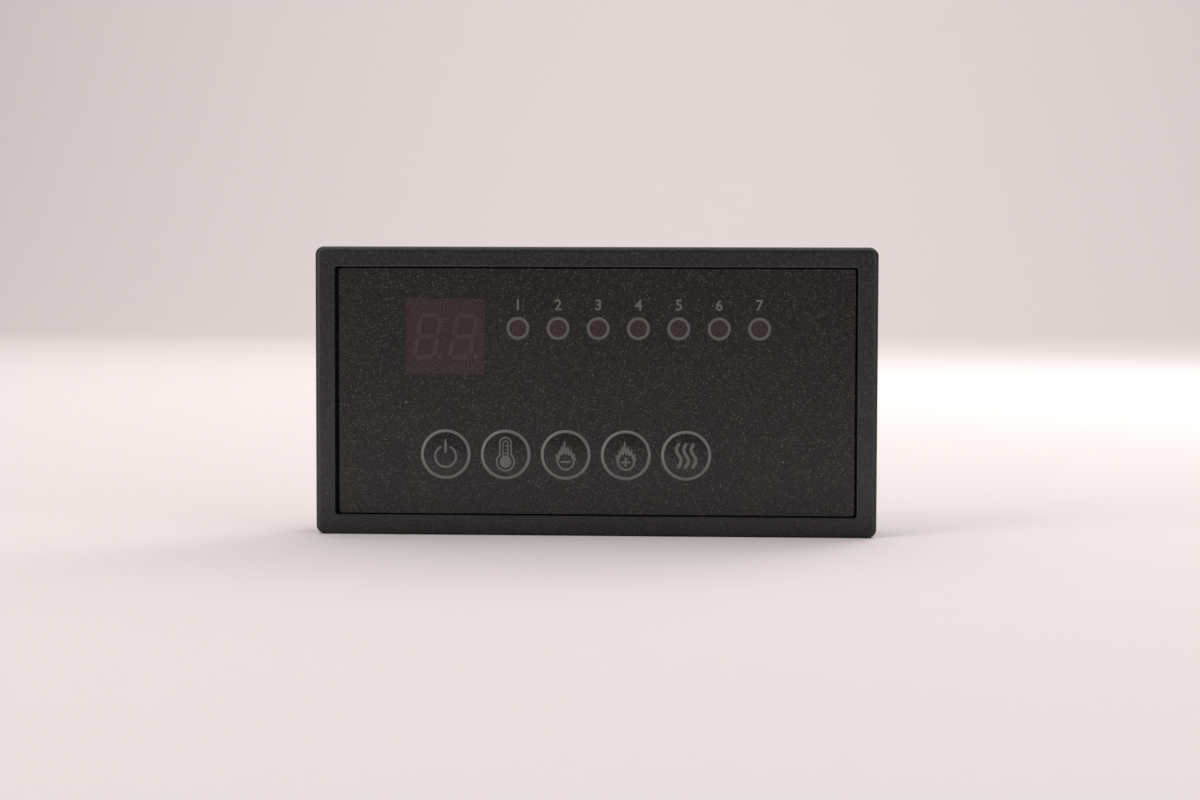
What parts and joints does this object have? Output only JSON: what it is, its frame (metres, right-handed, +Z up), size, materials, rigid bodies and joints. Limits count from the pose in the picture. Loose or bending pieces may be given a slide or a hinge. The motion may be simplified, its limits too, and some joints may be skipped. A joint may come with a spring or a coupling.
{
  "type": "programmable timer",
  "caption": "Panel-mounted weekly timer with a rectangular black snap-in bezel, a digital display, day lamps and a row of embossed keys; it programs an electric heater.",
  "frame": {"origin": "centre of the plane where the back of the bezel's flange rests on the panel", "axes": "+X to the right as the user sees the face, +Z up, +Y into the appliance; the face looks along -Y"},
  "size_m": [0.112, 0.0176, 0.0576],
  "materials": {
    "bezel_plastic": "black flame-retardant ABS, satin, moulded",
    "printed_film": "fine-grained satin polyester film, printed black on its back with grey marks",
    "adhesive": "thin double-sided adhesive sheet",
    "board_laminate": "glass-epoxy board with green solder mask",
    "display_black": "black display body with a grey face",
    "display_bars": "milky light-guide bars, unlit",
    "tinned_lead": "tin-plated metal",
    "chip_black": "black moulding compound",
    "crystal_can": "drawn nickel-silver can",
    "capacitor_aluminium": "drawn aluminium can",
    "header_nylon": "natural nylon",
    "chip_ceramic": "small ceramic chips with tinned ends",
    "screw_steel": "zinc-plated steel",
    "lamp_epoxy": "red diffused epoxy",
    "switch_black": "black glass-filled nylon",
    "switch_steel": "stamped stainless steel"
  },
  "bodies": {
    "housing": {"front_bezel": "bezel_plastic", "overlay_film": "printed_film", "overlay_adhesive": "adhesive", "circuit_board": "board_laminate", "display_case": "display_black", "display_segments": "display_bars", "display_pins": "tinned_lead", "lamp_leads": "tinned_lead", "controller_chip_leads": "tinned_lead", "driver_chip_leads": "tinned_lead", "harness_header_pins": "tinned_lead", "sensor_header_pins": "tinned_lead", "switch_terminals": "tinned_lead", "controller_chip": "chip_black", "driver_chip": "chip_black", "transistors": "chip_black", "buzzer": "chip_black", "capacitor_bases": "chip_black", "watch_crystal": "crystal_can", "clock_crystal": "crystal_can", "capacitor_cans": "capacitor_aluminium", "harness_header": "header_nylon", "sensor_header": "header_nylon", "chip_resistors": "chip_ceramic", "chip_capacitors": "chip_ceramic", "board_screws": "screw_steel", "day_lamp_1": "lamp_epoxy", "day_lamp_2": "lamp_epoxy", "day_lamp_3": "lamp_epoxy", "day_lamp_4": "lamp_epoxy", "day_lamp_5": "lamp_epoxy", "day_lamp_6": "lamp_epoxy", "day_lamp_7": "lamp_epoxy", "power_switch_base": "switch_black", "temperature_switch_base": "switch_black", "flame_down_switch_base": "switch_black", "flame_up_switch_base": "switch_black", "heat_switch_base": "switch_black", "power_switch_cover": "switch_steel", "temperature_switch_cover": "switch_steel", "flame_down_switch_cover": "switch_steel", "flame_up_switch_cover": "switch_steel", "heat_switch_cover": "switch_steel", "power_snap_dome": "switch_steel", "temperature_snap_dome": "switch_steel", "flame_down_snap_dome": "switch_steel", "flame_up_snap_dome": "switch_steel", "heat_snap_dome": "switch_steel"},
    "power_key": {"power_key": "printed_film", "power_switch_stem": "switch_black"},
    "temperature_key": {"temperature_key": "printed_film", "temperature_switch_stem": "switch_black"},
    "flame_down_key": {"flame_down_key": "printed_film", "flame_down_switch_stem": "switch_black"},
    "flame_up_key": {"flame_up_key": "printed_film", "flame_up_switch_stem": "switch_black"},
    "heat_key": {"heat_key": "printed_film", "heat_switch_stem": "switch_black"}
  },
  "joints": [
    {"name": "power_press", "type": "slide", "parent": "housing", "child": "power_key", "axis": [0, 1, 0], "range_m": [0, 0.0003], "stiffness_N_per_m": 2000, "springref_m": -0.0003, "deforming": ["power_snap_dome"]},
    {"name": "temperature_press", "type": "slide", "parent": "housing", "child": "temperature_key", "axis": [0, 1, 0], "range_m": [0, 0.0003], "stiffness_N_per_m": 2000, "springref_m": -0.0003, "deforming": ["temperature_snap_dome"]},
    {"name": "flame_down_press", "type": "slide", "parent": "housing", "child": "flame_down_key", "axis": [0, 1, 0], "range_m": [0, 0.0003], "stiffness_N_per_m": 2000, "springref_m": -0.0003, "deforming": ["flame_down_snap_dome"]},
    {"name": "flame_up_press", "type": "slide", "parent": "housing", "child": "flame_up_key", "axis": [0, 1, 0], "range_m": [0, 0.0003], "stiffness_N_per_m": 2000, "springref_m": -0.0003, "deforming": ["flame_up_snap_dome"]},
    {"name": "heat_press", "type": "slide", "parent": "housing", "child": "heat_key", "axis": [0, 1, 0], "range_m": [0, 0.0003], "stiffness_N_per_m": 2000, "springref_m": -0.0003, "deforming": ["heat_snap_dome"]}
  ]
}
